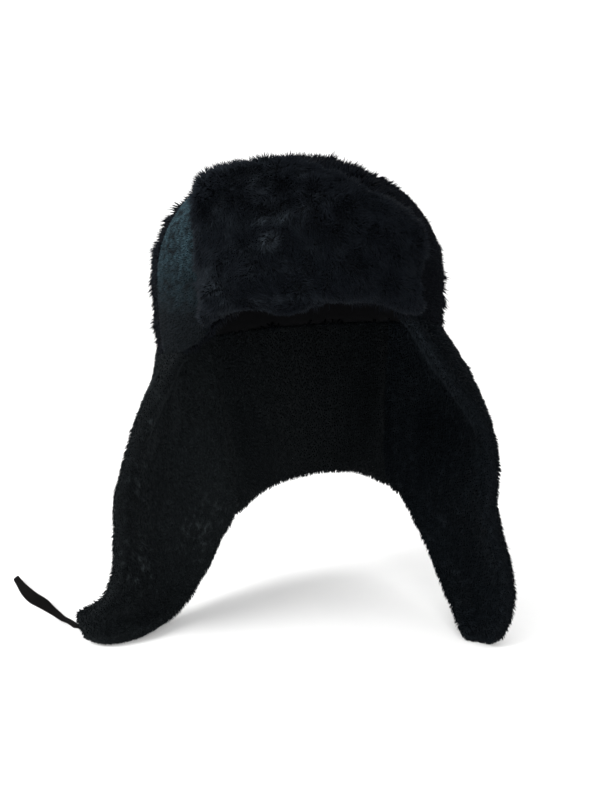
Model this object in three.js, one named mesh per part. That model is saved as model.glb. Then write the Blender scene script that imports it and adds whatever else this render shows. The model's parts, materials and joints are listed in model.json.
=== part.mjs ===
// A fur hat with ear flaps, in the form that it has when it's worn with its flaps down.
// Millimetres, +Z up, +X to the viewer's right, the front of the hat towards -Y.
// The origin is the top of the hollow, on the inside of the crown.
import * as THREE from "three";
import { mergeVertices } from "three/addons/utils/BufferGeometryUtils.js";

// Driving dimensions
const HOLLOW_HALF_WIDTH = 87; // the hollow at the rim, about 580 mm round
const HOLLOW_HALF_DEPTH = 97;
const CROWN_HALF_WIDTH = 101; // over the pile's middle
const CROWN_FRONT = 106; // behind the visor, where the crown has no pile
const CROWN_BACK = 112;
const WIDEST = -62; // height of the crown's widest level
const CROWN_TOP = 18; // height of the outside of the crown
const VISOR_THICK = 13;
const PANEL_THICK = 3;
const FLAP_THICK = 11;
const GAP = 0.5; // between neighbouring pieces
const GROUND = -318; // height of the ground that the flap tips touch

// Angles go round the hat from its front, in degrees, positive towards +X
const VISOR = { from: -31.5, to: 42.5, topFrom: -40, topTo: 45 }; // its two ends, at the rim and at its top
const PANELS = { left: { from: -62, to: -33.5 }, right: { from: 43.5, to: 72 } };
const FLAP_CORNER = { leftFront: -48, leftBack: -130, rightFront: 42, rightBack: 130 };

// The height of the lower edge all the way round, lower on the side where the hat sits deeper
const RIM = [
  { angle: -180, height: -110 },
  { angle: -130, height: -114 },
  { angle: -90, height: -112 },
  { angle: -60, height: -109 },
  { angle: -40, height: -98 },
  { angle: -28, height: -82 },
  { angle: -18, height: -73.5 },
  { angle: -2, height: -73.5 },
  { angle: 9, height: -68.5 },
  { angle: 24, height: -68.5 },
  { angle: 36, height: -75 },
  { angle: 60, height: -88 },
  { angle: 90, height: -95 },
  { angle: 130, height: -102 },
  { angle: 180, height: -110 },
];

// The visor's upper edge: its left corner stands up and its right one is pressed back
const VISOR_TOP = [
  { angle: -42, height: -1 },
  { angle: -35, height: 4 },
  { angle: -25, height: 8 },
  { angle: -12, height: 11.5 },
  { angle: 2, height: 12 },
  { angle: 11, height: 8 },
  { angle: 19, height: 2 },
  { angle: 26, height: -5 },
  { angle: 33, height: -13 },
  { angle: 40, height: -21 },
  { angle: 46, height: -30 },
];

// The ear flaps, a row for each section from the rim to the tip: the front edge, the back edge,
// and how far the middle bulges outwards
const LEFT_FLAP = [
  { front: [-71, -68, -103], back: [-70, 67, -114], bulge: 22 },
  { front: [-85, -64, -127], back: [-67, 70, -142], bulge: 19.5 },
  { front: [-98, -55, -147], back: [-64, 72, -170], bulge: 18.5 },
  { front: [-109, -45, -167], back: [-60, 70, -198], bulge: 15 },
  { front: [-117, -40, -188], back: [-54, 66, -230], bulge: 14 },
  { front: [-124.5, -40, -212], back: [-49.5, 60, -254], bulge: 13 },
  { front: [-125.5, -41, -236], back: [-62.5, 45, -278], bulge: 12 },
  { front: [-125.5, -43, -257], back: [-72, 26, -297], bulge: 11 },
  { front: [-131, -42, -276], back: [-84, 0, -308], bulge: 9 },
  { front: [-138, -38, -288], back: [-98, -24, -313], bulge: 7 },
  { front: [-148, -33, -296.5], back: [-114, -42, -314.5], bulge: 5 },
  { front: [-155, -29, -299], back: [-136, -52, -316], bulge: 3 },
  { front: [-159.5, -31, -303.5], back: [-153, -46.5, -316], bulge: 1 },
];
const RIGHT_FLAP = [
  { front: [63, -75, -77], back: [70, 67, -102], bulge: 26 },
  { front: [82, -70, -104], back: [71, 70, -129], bulge: 30 },
  { front: [103, -58, -130], back: [72, 71, -154], bulge: 30 },
  { front: [123, -46, -155], back: [72, 70, -179], bulge: 25 },
  { front: [133, -40, -181], back: [71, 68, -204], bulge: 19 },
  { front: [134.5, -41, -208], back: [72, 65, -227], bulge: 15 },
  { front: [137, -44, -234], back: [86, 54, -247], bulge: 12 },
  { front: [144, -47, -257], back: [99, 38, -269], bulge: 10 },
  { front: [148, -50, -279], back: [108.5, 14, -292], bulge: 8 },
  { front: [146, -52, -297], back: [115, -12, -308], bulge: 5 },
  { front: [141, -53, -309], back: [116, -34, -315], bulge: 2 },
  { front: [135, -51, -316], back: [119, -44, -316.5], bulge: 1 },
];
const NECK_ROWS = { left: 5.25, right: 5.45 }; // how far down the ear flaps' rows the neck flap reaches
const NECK_BULGE = { top: 37, bottom: 44 };
const NECK_ARCH = 10; // how far the middle of the neck flap's lower edge rises

// The tie's route from the left flap's tip along the ground, with its width and its roll
const TIE_THICK = 1.6;
const TIE_ROUTE = [
  { at: [-159, -36, -309], width: 4.2, roll: -15 },
  { at: [-166.8, -23, -312], width: 4.2, roll: -10 },
  { at: [-174, -13.5, -314.2], width: 4.8, roll: -8 },
  { at: [-182, -1.5, -316], width: 6, roll: -6 },
  { at: [-189.7, 7.5, -316], width: 7.5, roll: -12 },
  { at: [-197.1, 15.3, -315.3], width: 9, roll: -24 },
  { at: [-206.8, 23.8, -314.5], width: 9, roll: -35 },
  { at: [-216.5, 37.2, -314.8], width: 8, roll: -35 },
  { at: [-225.5, 52.6, -315.4], width: 6, roll: -35 },
  { at: [-232.9, 65.8, -315.7], width: 5, roll: -35 },
];

const mix = THREE.MathUtils.lerp;
const smooth = THREE.MathUtils.smoothstep;
const radians = THREE.MathUtils.degToRad;

// A smooth curve through a table's heights, read at an angle
function heightAt(table, angle) {
  const last = table.length - 1;
  const a = THREE.MathUtils.clamp(angle, table[0].angle, table[last].angle);
  const i = Math.min(last - 1, table.findLastIndex((row) => row.angle <= a));
  const [low, high] = [table[i], table[i + 1]];
  const slope = (j) => {
    const [p, q] = [table[Math.max(0, j - 1)], table[Math.min(last, j + 1)]];
    return (q.height - p.height) / (q.angle - p.angle);
  };
  const span = high.angle - low.angle;
  const t = (a - low.angle) / span;
  const bend = span * t * (1 - t) * (slope(i) * (1 - t) - slope(i + 1) * t);
  return mix(low.height, high.height, t * t * (3 - 2 * t)) + bend;
}
const rimHeight = (angle) => heightAt(RIM, angle);

// Soft unevenness of the pelt, the same at every run
function unevenness(p, size) {
  const k = (2 * Math.PI) / size;
  return (
    (Math.sin(k * (p.x + 0.4 * p.z) + 1.3) * Math.cos(k * (0.9 * p.y - 0.5 * p.z)) +
      Math.sin(k * 1.7 * (p.z - 0.3 * p.y) + 0.4) * Math.cos(k * 1.4 * p.x + 2.1)) /
    2
  );
}

// Distance from the axis to an oval that is deeper at the back than at the front
function oval(angle, halfWidth, front, back) {
  const a = radians(angle);
  const halfDepth = Math.cos(a) > 0 ? front : back;
  return 1 / Math.hypot(Math.sin(a) / halfWidth, Math.cos(a) / halfDepth);
}
const place = (angle, radius, height) =>
  new THREE.Vector3(radius * Math.sin(radians(angle)), -radius * Math.cos(radians(angle)), height);

// How far a dome draws in at a height: 1 at its widest level, 0 at its top
const FRONT_FULLNESS = 2.7;
const SIDE_FULLNESS = 1.95;
const TUCK = 0.03; // the walls draw in this much from the widest level to the rim
function domeShare(height, top, fullness) {
  if (height <= WIDEST) return 1 - TUCK * ((WIDEST - height) / 50) ** 2;
  const rise = Math.min(1, (height - WIDEST) / (top - WIDEST));
  return (1 - rise ** fullness) ** (1 / fullness);
}
const fullnessAt = (angle) => mix(SIDE_FULLNESS, FRONT_FULLNESS, Math.cos(radians(angle)) ** 2);
const crownOval = (angle) => oval(angle, CROWN_HALF_WIDTH, CROWN_FRONT, CROWN_BACK);

// Turns a mesh's faces outwards and merges the points that its sheets share
function closedBody(positions, index) {
  const at = (i) => new THREE.Vector3().fromArray(positions, 3 * i);
  let volume = 0;
  for (let i = 0; i < index.length; i += 3)
    volume += at(index[i]).dot(at(index[i + 1]).cross(at(index[i + 2])));
  if (volume < 0)
    for (let i = 0; i < index.length; i += 3) [index[i], index[i + 1]] = [index[i + 1], index[i]];
  const geometry = new THREE.BufferGeometry();
  geometry.setAttribute("position", new THREE.Float32BufferAttribute(positions, 3));
  geometry.setIndex(index);
  const merged = mergeVertices(geometry, 1e-4);
  merged.computeVertexNormals();
  return merged;
}

// A surface through rings of points that all have as many, closed by a point or a flat cap at each end
function ringedBody(rings) {
  const count = rings[0].length;
  const positions = rings.flat().flatMap((p) => p.toArray());
  const index = [];
  for (let r = 0; r + 1 < rings.length; r++)
    for (let i = 0; i < count; i++) {
      const [a, b] = [r * count + i, r * count + ((i + 1) % count)];
      index.push(a, b, a + count, b, b + count, a + count);
    }
  for (const [first, turn] of [[0, false], [(rings.length - 1) * count, true]]) {
    const middle = positions.length / 3;
    const ring = rings[first / count];
    const centre = ring.reduce((sum, p) => sum.add(p), new THREE.Vector3()).divideScalar(count);
    positions.push(...centre.toArray());
    for (let i = 0; i < count; i++) {
      const pair = [first + i, first + ((i + 1) % count)];
      index.push(middle, ...(turn ? pair : pair.reverse()));
    }
  }
  return closedBody(positions, index);
}

// Steps from 0 to 1 with close ones where an edge of a pad is rounded
function padSteps(count, length, roundStart, roundEnd, radius) {
  const near = [0.3, 1].map((share) => (share * radius) / length);
  const start = roundStart ? [0, ...near] : [0];
  const end = roundEnd ? [...near.toReversed().map((x) => 1 - x), 1] : [1];
  const [low, high] = [start.at(-1), end[0]];
  const inner = Array.from({ length: count - 1 }, (_, i) => mix(low, high, (i + 1) / count));
  return [...start, ...inner, ...end];
}

// A padded sheet about a middle surface: surface(u, v) gives its points, and each edge is rounded or square
function padBody({ surface, thick, across, along, round, level = false }) {
  const width = surface(0, 0.4).distanceTo(surface(1, 0.4));
  const [top, middle, bottom] = [0, 0.5, 1].map((v) => surface(0.5, v));
  const length = top.distanceTo(middle) + middle.distanceTo(bottom);
  const radius = thick / 2;
  const us = padSteps(across, width, round.left, round.right, radius);
  const vs = padSteps(along, length, round.top, round.bottom, radius);
  const edge = (distance, rounded) =>
    rounded && distance < radius ? Math.sqrt(Math.max(0.03, 1 - (1 - distance / radius) ** 2)) : 1;
  const step = 1e-3;
  const sheets = [[], []];
  for (const v of vs)
    for (const u of us) {
      const p = surface(u, v);
      const du = surface(Math.min(1, u + step), v).sub(surface(Math.max(0, u - step), v));
      const dv = surface(u, Math.min(1, v + step)).sub(surface(u, Math.max(0, v - step)));
      const normal = du.cross(dv);
      if (level) normal.z *= smooth(v, 0, 0.12);
      normal.normalize();
      const half =
        radius *
        Math.min(edge(u * width, round.left), edge((1 - u) * width, round.right)) *
        Math.min(edge(v * length, round.top), edge((1 - v) * length, round.bottom));
      for (const [sheet, side] of [[sheets[0], 1], [sheets[1], -1]]) {
        const q = p.clone().addScaledVector(normal, side * half);
        q.z = Math.max(q.z, GROUND);
        sheet.push(q);
      }
    }
  const columns = us.length;
  const rows = vs.length;
  const other = columns * rows;
  const index = [];
  const quad = (a, b, c, d) => index.push(a, b, c, a, c, d);
  for (let j = 0; j + 1 < rows; j++)
    for (let i = 0; i + 1 < columns; i++) {
      const a = j * columns + i;
      quad(a, a + 1, a + columns + 1, a + columns);
      quad(other + a, other + a + columns, other + a + columns + 1, other + a + 1);
    }
  for (let i = 0; i + 1 < columns; i++) {
    const b = (rows - 1) * columns + i;
    quad(i, other + i, other + i + 1, i + 1);
    quad(b, b + 1, other + b + 1, other + b);
  }
  for (let j = 0; j + 1 < rows; j++) {
    const a = j * columns;
    const b = a + columns - 1;
    quad(a, a + columns, other + a + columns, other + a);
    quad(b, other + b, other + b + columns, b + columns);
  }
  return closedBody([...sheets[0], ...sheets[1]].flatMap((p) => p.toArray()), index);
}

// The crown: a padded dome with an open hollow, sunk a little where the side panels lie
const CROWN_SIDES = 60;
const PANEL_SHARE = 0.71; // how far up the crown's rings the side panels reach
const PANEL_EDGE = 0.6; // degrees from a panel's edge to the foot of its step
const PANEL_BEVEL = 1.8; // degrees from a panel's edge to the top of its step
const edges = [PANELS.left, PANELS.right];
function inPanel(angle, share) {
  const under = edges.some(({ from, to }) => angle > from - 1.2 && angle < to + 1.2);
  return under && share <= PANEL_SHARE ? 1 : 0;
}
function crownAngles() {
  const clear = (a) => edges.every(({ from, to }) => Math.abs(a - from) > 3 && Math.abs(a - to) > 3);
  const regular = Array.from({ length: CROWN_SIDES }, (_, i) => -180 + (360 * i) / CROWN_SIDES);
  const atEdges = edges.flatMap(({ from, to }) => [
    from - PANEL_BEVEL, from - PANEL_EDGE, to + PANEL_EDGE, to + PANEL_BEVEL,
  ]);
  return [...regular.filter(clear), ...atEdges].sort((a, b) => a - b);
}
function crownGeometry() {
  const angles = crownAngles();
  const ring = (pointAt) => angles.map(pointAt);
  const outside = (share) => (angle) => {
    const rim = rimHeight(angle);
    const height = share < 0.4 ? mix(rim, WIDEST, share / 0.4) : domeHeight(share, CROWN_TOP);
    const radius = crownOval(angle) * domeShare(height, CROWN_TOP, fullnessAt(angle));
    const behindVisor = smooth(Math.abs(angle - 5), 36, 42);
    const p = place(angle, radius, height);
    const lump = behindVisor * (1 - inPanel(angle, share)) * 1.4 * unevenness(p, 46);
    return place(angle, radius + lump - (PANEL_THICK + GAP) * inPanel(angle, share), height);
  };
  const inside = (share) => (angle) => {
    const rim = rimHeight(angle);
    const height = share < 0.4 ? mix(rim, WIDEST, share / 0.4) : domeHeight(share, 0);
    const wide = oval(angle, HOLLOW_HALF_WIDTH, HOLLOW_HALF_DEPTH, HOLLOW_HALF_DEPTH);
    return place(angle, wide * Math.max(0, domeShare(Math.max(height, WIDEST), 0, 2.3)), height);
  };
  const outer = [0, 0.12, 0.26, 0.4, 0.49, 0.57, 0.64, 0.71, 0.78, 0.85, 0.92, 0.97];
  const inner = [0.97, 0.9, 0.8, 0.7, 0.6, 0.5, 0.4, 0];
  return ringedBody([
    ...outer.toReversed().map((share) => ring(outside(share))),
    ...inner.toReversed().map((share) => ring(inside(share))),
  ]);
}
// The dome's rings are closer together towards its top
function domeHeight(share, top) {
  const turn = ((share - 0.4) / 0.6) * (Math.PI / 2);
  return mix(WIDEST, top, Math.sin(turn));
}

// The visor: a thick fur panel turned up in front, standing off the dome at its top
const VISOR_DOME_TOP = 28; // where its own curve would close
function visorGeometry() {
  const surface = (u, v) => {
    const angle = mix(mix(VISOR.from, VISOR.topFrom, v * v), mix(VISOR.to, VISOR.topTo, v * v), u);
    const height = mix(rimHeight(angle) - 1, heightAt(VISOR_TOP, angle), v);
    const share = domeShare(height, VISOR_DOME_TOP, FRONT_FULLNESS);
    return place(angle, (crownOval(angle) + GAP + VISOR_THICK / 2) * share, height);
  };
  return padBody({
    surface,
    thick: VISOR_THICK,
    across: 20,
    along: 9,
    round: { left: true, right: true, top: true, bottom: true },
  });
}

// A side panel: a short-haired patch that lies in the crown's sunken side
function panelGeometry({ from, to }) {
  const surface = (u, v) => {
    const angle = mix(from, to, u);
    const height = mix(rimHeight(angle) + 0.5, domeHeight(PANEL_SHARE, CROWN_TOP) - 1, v);
    const radius = crownOval(angle) * domeShare(height, CROWN_TOP, fullnessAt(angle)) - PANEL_THICK / 2;
    return place(angle, radius + GAP, height);
  };
  return padBody({
    surface,
    thick: PANEL_THICK,
    across: 6,
    along: 12,
    round: { left: false, right: false, top: true, bottom: false },
  });
}

// The flaps hang from the rim: near it their sections follow the oval, and lower down their own rows
const FLAP_OVAL = { width: HOLLOW_HALF_WIDTH + FLAP_THICK / 2, depth: HOLLOW_HALF_DEPTH + FLAP_THICK / 2 };
function rimPlace(angle) {
  const turned = ((angle + 540) % 360) - 180;
  const radius = oval(angle, FLAP_OVAL.width, FLAP_OVAL.depth, FLAP_OVAL.depth);
  return place(angle, radius, rimHeight(turned) - GAP);
}
const curveOf = (rows, key) =>
  new THREE.CatmullRomCurve3(rows.map((row) => new THREE.Vector3(...row[key])));
function bulgeAt(rows, v) {
  const at = v * (rows.length - 1);
  const i = Math.min(rows.length - 2, Math.floor(at));
  return mix(rows[i].bulge, rows[i + 1].bulge, at - i);
}
// A section between two points that bulges sideways, in an even curve or with fuller shoulders
function section(start, end, bulge, u, side, shoulders = 0) {
  const chord = end.clone().sub(start);
  const away = side * bulge * mix(4 * u * (1 - u), 1 - (1 - 2 * u) ** 4, shoulders);
  const out = new THREE.Vector3(-chord.y, chord.x, 0).normalize().multiplyScalar(away);
  return start.clone().lerp(end, u).add(out);
}
function flapSurface(rows, frontAngle, backAngle, side) {
  const [front, back] = [curveOf(rows, "front"), curveOf(rows, "back")];
  const own = (u, v) => section(front.getPoint(v), back.getPoint(v), bulgeAt(rows, v), u, side);
  return (u, v) => {
    const hold = (1 - smooth(v, 0, 0.22)) ** 1.5;
    const pull = rimPlace(mix(frontAngle, backAngle, u)).sub(own(u, 0));
    const p = own(u, v).addScaledVector(pull, hold);
    p.x += 1.3 * smooth(v, 0.08, 0.2) * unevenness(p, 60);
    return p;
  };
}
const leftSurface = flapSurface(LEFT_FLAP, FLAP_CORNER.leftFront, FLAP_CORNER.leftBack, 1);
const rightSurface = flapSurface(RIGHT_FLAP, FLAP_CORNER.rightFront, FLAP_CORNER.rightBack, -1);

function earFlapGeometry(surface) {
  return padBody({
    surface,
    thick: FLAP_THICK,
    across: 12,
    along: 24,
    round: { left: true, right: true, top: false, bottom: true },
    level: true,
  });
}

// The neck flap spans the back edges of the two ear flaps
const SEAM = 1.6; // from an ear flap's edge to the neck flap's, each with half a thin edge beside it
const NECK_SHOULDERS = 0.5;
function neckFlapGeometry() {
  const surface = (u, v) => {
    const left = leftSurface(1, (v * NECK_ROWS.left) / (LEFT_FLAP.length - 1));
    const right = rightSurface(1, (v * NECK_ROWS.right) / (RIGHT_FLAP.length - 1));
    const bulge = mix(NECK_BULGE.top, NECK_BULGE.bottom, v);
    const hold = (1 - smooth(v, 0, 0.5)) ** 1.5;
    const nearEdge = section(right, left, bulge, 0.002, -1, NECK_SHOULDERS);
    const inset = (0.002 * SEAM) / nearEdge.distanceTo(right);
    const w = mix(inset, 1 - inset, u);
    const p = section(right, left, bulge, w, -1, NECK_SHOULDERS);
    const angle = mix(FLAP_CORNER.rightBack, 360 + FLAP_CORNER.leftBack, w);
    const top = section(rightSurface(1, 0), leftSurface(1, 0), NECK_BULGE.top, w, -1, NECK_SHOULDERS);
    p.addScaledVector(rimPlace(angle).sub(top), hold);
    p.z += NECK_ARCH * v * 4 * w * (1 - w);
    p.y += 1.2 * smooth(v, 0.2, 0.5) * unevenness(p, 60);
    return p;
  };
  return padBody({
    surface,
    thick: FLAP_THICK,
    across: 14,
    along: 10,
    round: { left: true, right: true, top: false, bottom: true },
    level: true,
  });
}

// The tie: a flat tape that leaves the left flap's tip and lies on the ground
const TIE_STEPS = 26;
function tieGeometry() {
  const route = curveOf(TIE_ROUTE, "at");
  const rings = [];
  for (let i = 0; i <= TIE_STEPS; i++) {
    const t = i / TIE_STEPS;
    const at = t * (TIE_ROUTE.length - 1);
    const row = Math.min(TIE_ROUTE.length - 2, Math.floor(at));
    const between = (key) => mix(TIE_ROUTE[row][key], TIE_ROUTE[row + 1][key], at - row);
    const along = route.getTangent(t);
    const flat = new THREE.Vector3(-along.y, along.x, 0).normalize();
    const up = along.clone().cross(flat).normalize();
    const roll = radians(between("roll"));
    const wide = flat.clone().multiplyScalar(Math.cos(roll)).addScaledVector(up, Math.sin(roll));
    const thin = wide.clone().cross(along).normalize();
    const centre = route.getPoint(t);
    const half = between("width") / 2;
    const corner = (x, y) =>
      centre.clone().addScaledVector(wide, x * half).addScaledVector(thin, (y * TIE_THICK) / 2);
    rings.push([
      corner(1, 0.4), corner(0.85, 1), corner(-0.85, 1), corner(-1, 0.4),
      corner(-1, -0.4), corner(-0.85, -1), corner(0.85, -1), corner(1, -0.4),
    ]);
  }
  return ringedBody(rings);
}

const fur = (name, colour, roughness) => {
  const material = new THREE.MeshStandardMaterial({ color: colour, roughness, metalness: 0 });
  material.name = name;
  return material;
};
const BLACK_FUR = fur("black_fur", 0x0d0f14, 0.9);
const SHEARED_FUR = fur("sheared_fur", 0x2b363c, 0.95);
const TAPE = fur("tape", 0x151414, 0.85);

function piece(name, geometry, material) {
  const mesh = new THREE.Mesh(geometry, material);
  mesh.name = name;
  return mesh;
}

const hat = new THREE.Group();
const top = new THREE.Group();
const flaps = new THREE.Group();
top.add(
  piece("crown", crownGeometry(), BLACK_FUR),
  piece("visor", visorGeometry(), BLACK_FUR),
  piece("side_panel_left", panelGeometry(PANELS.left), SHEARED_FUR),
  piece("side_panel_right", panelGeometry(PANELS.right), SHEARED_FUR),
);
flaps.add(
  piece("ear_flap_left", earFlapGeometry(leftSurface), BLACK_FUR),
  piece("ear_flap_right", earFlapGeometry(rightSurface), BLACK_FUR),
  piece("neck_flap", neckFlapGeometry(), BLACK_FUR),
  piece("tie", tieGeometry(), TAPE),
);
hat.add(top, flaps);

export default hat;
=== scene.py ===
"""A black fur hat with its flaps down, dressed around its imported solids. Metres, +Z up."""

import json
import math

import bmesh
import bpy
import numpy as np
from mathutils import Vector, noise
from mathutils.bvhtree import BVHTree
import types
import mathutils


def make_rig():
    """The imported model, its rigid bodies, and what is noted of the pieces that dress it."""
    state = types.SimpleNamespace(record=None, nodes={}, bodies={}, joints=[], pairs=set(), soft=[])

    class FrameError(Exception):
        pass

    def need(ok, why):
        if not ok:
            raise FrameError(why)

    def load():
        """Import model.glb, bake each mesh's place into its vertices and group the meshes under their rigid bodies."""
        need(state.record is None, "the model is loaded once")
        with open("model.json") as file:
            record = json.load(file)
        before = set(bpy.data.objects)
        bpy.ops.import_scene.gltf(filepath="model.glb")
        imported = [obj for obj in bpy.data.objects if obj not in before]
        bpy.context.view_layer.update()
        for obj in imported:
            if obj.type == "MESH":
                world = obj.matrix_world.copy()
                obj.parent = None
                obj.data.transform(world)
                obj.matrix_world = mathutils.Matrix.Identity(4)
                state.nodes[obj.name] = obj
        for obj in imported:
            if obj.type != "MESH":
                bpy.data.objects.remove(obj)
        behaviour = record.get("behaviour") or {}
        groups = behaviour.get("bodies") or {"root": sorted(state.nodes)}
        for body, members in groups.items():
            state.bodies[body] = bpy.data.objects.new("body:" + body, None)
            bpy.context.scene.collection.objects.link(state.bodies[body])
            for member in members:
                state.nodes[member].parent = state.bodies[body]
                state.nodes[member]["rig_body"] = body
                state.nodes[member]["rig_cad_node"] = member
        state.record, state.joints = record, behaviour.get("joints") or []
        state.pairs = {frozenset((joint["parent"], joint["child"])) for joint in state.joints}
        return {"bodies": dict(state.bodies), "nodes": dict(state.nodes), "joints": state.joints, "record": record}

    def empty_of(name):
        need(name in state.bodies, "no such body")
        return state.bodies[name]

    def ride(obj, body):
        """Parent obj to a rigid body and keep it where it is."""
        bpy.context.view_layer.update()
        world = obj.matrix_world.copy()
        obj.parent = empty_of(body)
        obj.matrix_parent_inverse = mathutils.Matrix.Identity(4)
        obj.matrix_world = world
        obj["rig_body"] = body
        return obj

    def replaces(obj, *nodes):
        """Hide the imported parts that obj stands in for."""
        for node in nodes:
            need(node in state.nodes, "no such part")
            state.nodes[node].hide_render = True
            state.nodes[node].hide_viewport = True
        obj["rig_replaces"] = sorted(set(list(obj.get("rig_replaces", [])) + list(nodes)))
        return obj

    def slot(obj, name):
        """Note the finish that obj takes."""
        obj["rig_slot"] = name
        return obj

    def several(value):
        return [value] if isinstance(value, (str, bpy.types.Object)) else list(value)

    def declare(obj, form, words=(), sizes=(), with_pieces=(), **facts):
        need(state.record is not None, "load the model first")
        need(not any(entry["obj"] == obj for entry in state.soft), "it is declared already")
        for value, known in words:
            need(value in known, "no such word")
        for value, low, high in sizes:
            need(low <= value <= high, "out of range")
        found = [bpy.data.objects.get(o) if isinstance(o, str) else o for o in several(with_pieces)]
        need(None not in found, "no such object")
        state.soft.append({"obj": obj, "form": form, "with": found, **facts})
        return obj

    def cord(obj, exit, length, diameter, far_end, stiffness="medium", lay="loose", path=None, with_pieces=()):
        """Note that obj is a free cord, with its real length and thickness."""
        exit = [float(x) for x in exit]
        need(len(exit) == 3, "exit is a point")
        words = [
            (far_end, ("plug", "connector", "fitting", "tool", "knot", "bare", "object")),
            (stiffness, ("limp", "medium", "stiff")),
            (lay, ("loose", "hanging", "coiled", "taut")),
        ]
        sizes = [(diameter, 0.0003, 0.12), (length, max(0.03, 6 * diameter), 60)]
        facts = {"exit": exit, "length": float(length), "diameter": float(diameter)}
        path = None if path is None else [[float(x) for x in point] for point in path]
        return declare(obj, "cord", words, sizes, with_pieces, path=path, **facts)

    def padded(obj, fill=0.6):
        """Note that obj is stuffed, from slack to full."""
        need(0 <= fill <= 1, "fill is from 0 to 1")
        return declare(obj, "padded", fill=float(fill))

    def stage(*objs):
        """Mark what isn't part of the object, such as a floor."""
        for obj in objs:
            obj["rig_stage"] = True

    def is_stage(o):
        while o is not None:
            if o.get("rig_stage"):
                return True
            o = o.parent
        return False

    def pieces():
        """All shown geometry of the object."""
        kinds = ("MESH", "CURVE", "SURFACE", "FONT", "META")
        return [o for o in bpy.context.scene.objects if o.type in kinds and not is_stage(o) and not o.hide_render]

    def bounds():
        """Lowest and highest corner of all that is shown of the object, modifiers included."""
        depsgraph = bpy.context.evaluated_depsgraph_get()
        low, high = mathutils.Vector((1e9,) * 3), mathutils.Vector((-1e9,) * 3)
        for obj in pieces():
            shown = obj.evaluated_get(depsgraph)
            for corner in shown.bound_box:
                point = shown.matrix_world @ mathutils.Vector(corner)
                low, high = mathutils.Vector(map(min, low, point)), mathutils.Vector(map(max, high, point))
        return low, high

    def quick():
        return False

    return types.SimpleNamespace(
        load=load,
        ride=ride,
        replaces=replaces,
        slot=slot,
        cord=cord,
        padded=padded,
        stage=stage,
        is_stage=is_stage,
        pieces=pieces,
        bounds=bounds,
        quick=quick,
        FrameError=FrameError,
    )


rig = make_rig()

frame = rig.load()
cad_low, cad_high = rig.bounds()

MM = 0.001
GROUND = -0.318  # height of the ground that the flap tips touch
BROW = Vector((0, 0.003, -0.062))  # the middle of the crown at its widest level


# The camera
camera_data = bpy.data.cameras.new("camera")
camera_data.sensor_width = 36
camera_data.lens = 41.5
camera_data.shift_x, camera_data.shift_y = 0.003, -0.0225
camera = bpy.data.objects.new("camera", camera_data)
camera.location = (0, -0.65, -0.008)
camera.rotation_euler = (math.radians(78.7), 0, 0)
bpy.context.collection.objects.link(camera)
bpy.context.scene.camera = camera


class Wire:
    """A node's output that Python's operators can work on."""

    def __init__(self, nodes, socket):
        self.nodes, self.socket = nodes, socket

    def _work(self, operation, first, second):
        both = (first, second)
        flat = all(not isinstance(x, Wire) or x.socket.type in ("VALUE", "INT") for x in both)
        if flat and not any(isinstance(x, (tuple, Vector)) for x in both):
            worked = self.nodes.add("ShaderNodeMath", {"operation": operation}, dict(enumerate(both)))
            return worked["Value"]
        both = [x if isinstance(x, (Wire, tuple)) else (x, x, x) for x in both]
        worked = self.nodes.add("ShaderNodeVectorMath", {"operation": operation}, dict(enumerate(both)))
        return worked["Vector"]

    def __add__(self, other):
        return self._work("ADD", self, other)

    __radd__ = __add__

    def __mul__(self, other):
        return self._work("MULTIPLY", self, other)

    __rmul__ = __mul__

    def __sub__(self, other):
        return self._work("SUBTRACT", self, other)

    def __rsub__(self, other):
        return self._work("SUBTRACT", other, self)

    def __truediv__(self, other):
        return self._work("DIVIDE", self, other)

    def __pow__(self, other):
        return self._work("POWER", self, other)

    def clamped(self):
        return self.nodes.add("ShaderNodeClamp", {}, {"Value": self})["Result"]


class Made:
    """A node that was added, whose outputs are read by name."""

    def __init__(self, nodes, node):
        self.nodes, self.node = nodes, node

    def __getitem__(self, key):
        return Wire(self.nodes, Nodes.socket(self.node.outputs, key))


class Nodes:
    """A node tree under construction."""

    def __init__(self, tree):
        self.tree = tree
        tree.nodes.clear()

    @staticmethod
    def socket(sockets, key):
        if isinstance(key, int):
            return sockets[key]
        return next((s for s in sockets if s.identifier == key), None) or sockets[key]

    def add(self, kind, settings, sockets):
        node = self.tree.nodes.new(kind)
        for name, value in settings.items():
            setattr(node, name, value)
        for key, value in sockets.items():
            socket = self.socket(node.inputs, key)
            if isinstance(value, Wire):
                self.tree.links.new(value.socket, socket)
            elif socket.type == "RGBA":
                socket.default_value = (*value, 1)
            else:
                socket.default_value = value
        return Made(self, node)

    def attribute(self, name):
        return self.add("ShaderNodeAttribute", {"attribute_name": name}, {})["Fac"]

    def colour_mix(self, share, first, second):
        mixed = {"Factor_Float": share, "A_Color": first, "B_Color": second}
        return self.add("ShaderNodeMix", {"data_type": "RGBA"}, mixed)["Result_Color"]

    def cloud(self, place, scale, detail=2.0):
        return self.add("ShaderNodeTexNoise", {}, {"Vector": place, "Scale": scale, "Detail": detail})[0]


def material(name, rough, **constants):
    """A new material, its nodes, its shader, and the place of a point on the piece."""
    made = bpy.data.materials.new(name)
    made.use_nodes = True
    nodes = Nodes(made.node_tree)
    shader = nodes.add("ShaderNodeBsdfPrincipled", {}, {"Roughness": rough, **constants})
    output = nodes.add("ShaderNodeOutputMaterial", {}, {"Surface": shader["BSDF"]})
    output.node.is_active_output = True
    place = nodes.add("ShaderNodeTexCoord", {}, {})["Object"]
    return made, nodes, shader.node, place


def feed(nodes, shader, socket, wire):
    nodes.tree.links.new(wire.socket, shader.inputs[socket])


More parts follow.
